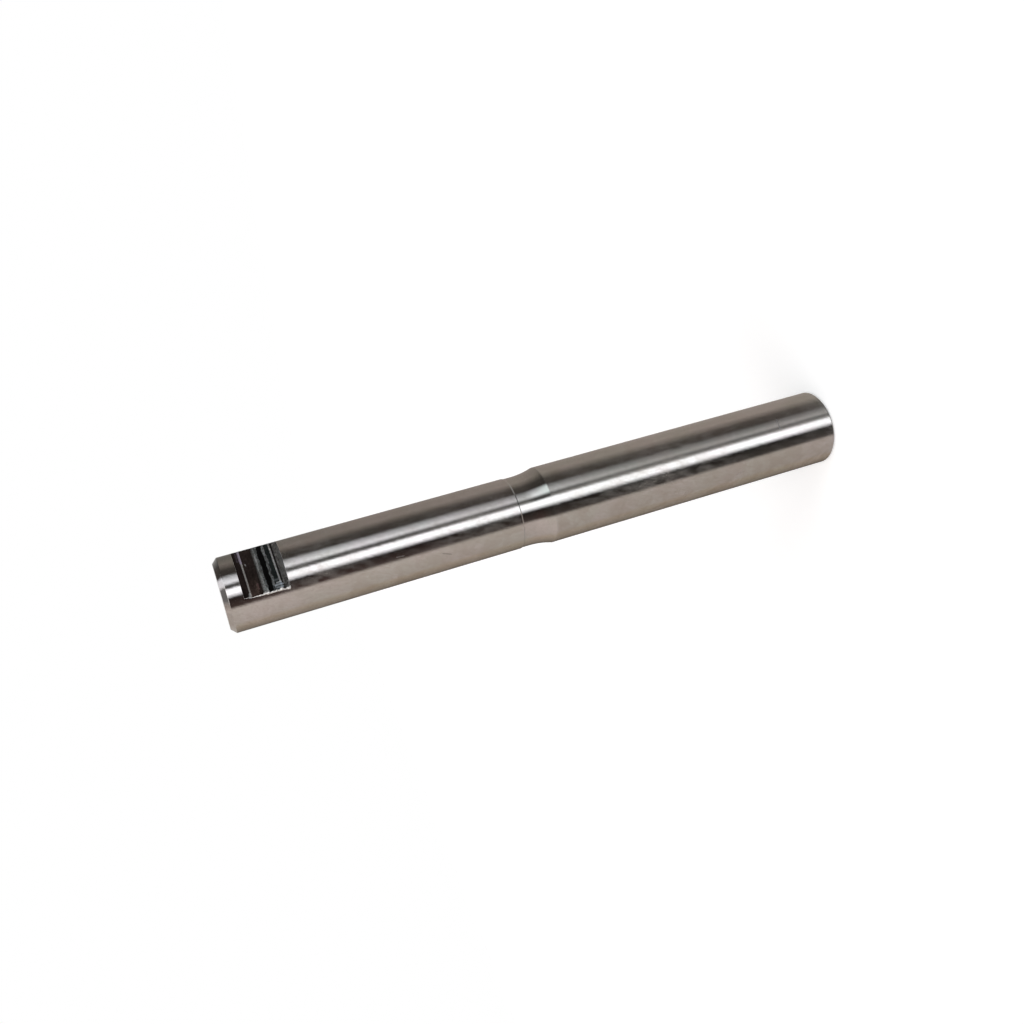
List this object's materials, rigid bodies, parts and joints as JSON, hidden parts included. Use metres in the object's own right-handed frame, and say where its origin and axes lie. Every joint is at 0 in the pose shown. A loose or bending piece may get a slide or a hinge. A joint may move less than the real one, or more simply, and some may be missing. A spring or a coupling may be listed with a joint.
{
  "type": "axle",
  "caption": "Turned steel axle: a thick body that steps down through a hollow flare to a thinner journal with a flat keeper notch cut across it near its chamfered end.",
  "frame": {"origin": "on the axle's axis, in the face of the plain end it stands on", "axes": "+Z along the axis, from the plain end to the notched end; the keeper notch faces -Y"},
  "size_m": [0.0649, 0.065, 0.54],
  "materials": {
    "steel": "bright turned and polished, lightly stained and scratched from handling"
  },
  "bodies": {
    "root": {"axle": "steel"}
  },
  "joints": []
}
